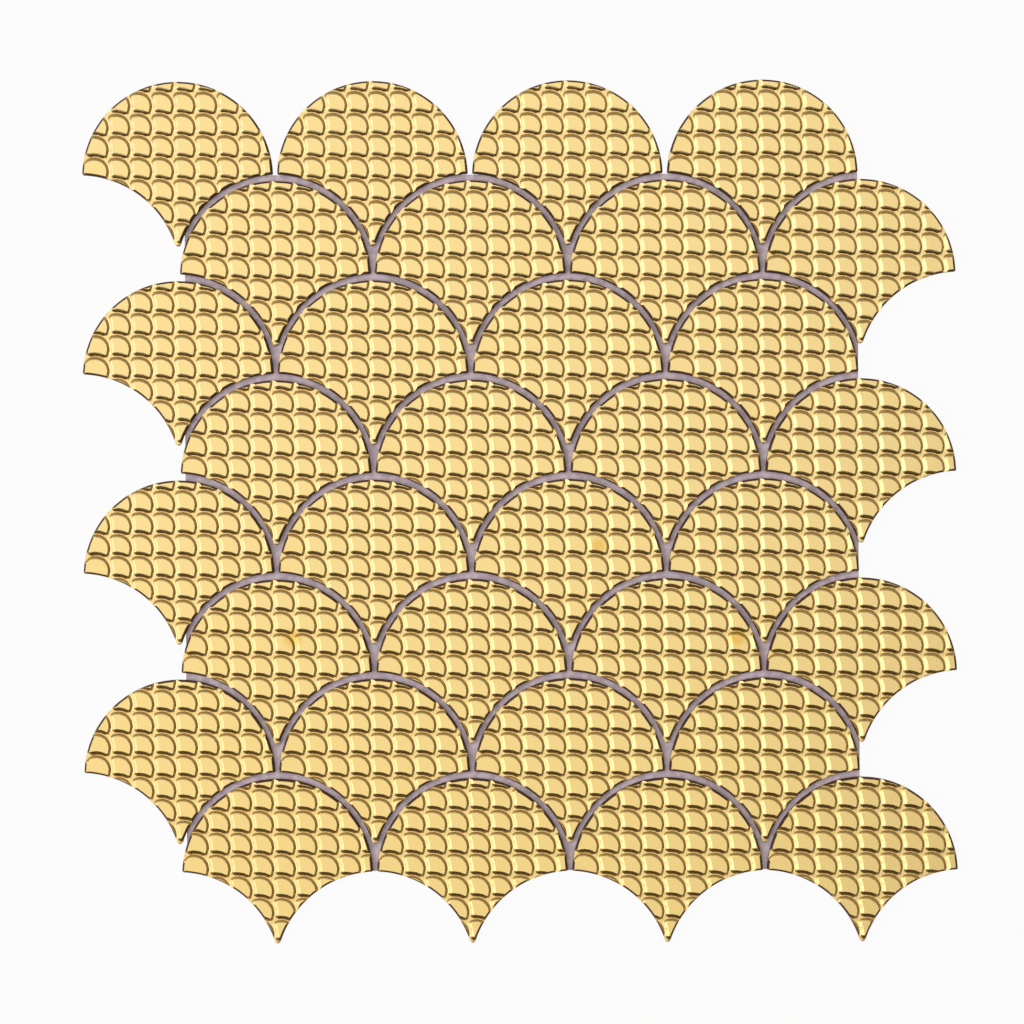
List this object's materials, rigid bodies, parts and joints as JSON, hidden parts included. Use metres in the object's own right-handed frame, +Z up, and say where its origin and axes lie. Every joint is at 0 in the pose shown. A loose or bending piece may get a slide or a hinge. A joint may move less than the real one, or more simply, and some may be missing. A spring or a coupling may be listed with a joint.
{
  "type": "mosaic tile sheet",
  "caption": "Flat mosaic sheet: gold metal fan tiles laid like fish scales on one backing sheet, each face pressed with a fine scale pattern.",
  "frame": {"origin": "under the middle of the sheet's bounding box, on the backing's underside", "axes": "+X along the rows, to the right of the picture; +Y towards the first row; +Z up, out of the tiles' faces"},
  "size_m": [0.3, 0.2962, 0.0032],
  "materials": {
    "gold_metal": "satin, gold",
    "backing": "matt"
  },
  "bodies": {
    "root": {"backing_sheet": "backing", "tile_row1_column1": "gold_metal", "tile_row1_column2": "gold_metal", "tile_row1_column3": "gold_metal", "tile_row1_column4": "gold_metal", "tile_row2_column1": "gold_metal", "tile_row2_column2": "gold_metal", "tile_row2_column3": "gold_metal", "tile_row2_column4": "gold_metal", "tile_row3_column1": "gold_metal", "tile_row3_column2": "gold_metal", "tile_row3_column3": "gold_metal", "tile_row3_column4": "gold_metal", "tile_row4_column1": "gold_metal", "tile_row4_column2": "gold_metal", "tile_row4_column3": "gold_metal", "tile_row4_column4": "gold_metal", "tile_row5_column1": "gold_metal", "tile_row5_column2": "gold_metal", "tile_row5_column3": "gold_metal", "tile_row5_column4": "gold_metal", "tile_row6_column1": "gold_metal", "tile_row6_column2": "gold_metal", "tile_row6_column3": "gold_metal", "tile_row6_column4": "gold_metal", "tile_row7_column1": "gold_metal", "tile_row7_column2": "gold_metal", "tile_row7_column3": "gold_metal", "tile_row7_column4": "gold_metal", "tile_row8_column1": "gold_metal", "tile_row8_column2": "gold_metal", "tile_row8_column3": "gold_metal", "tile_row8_column4": "gold_metal"}
  },
  "joints": []
}
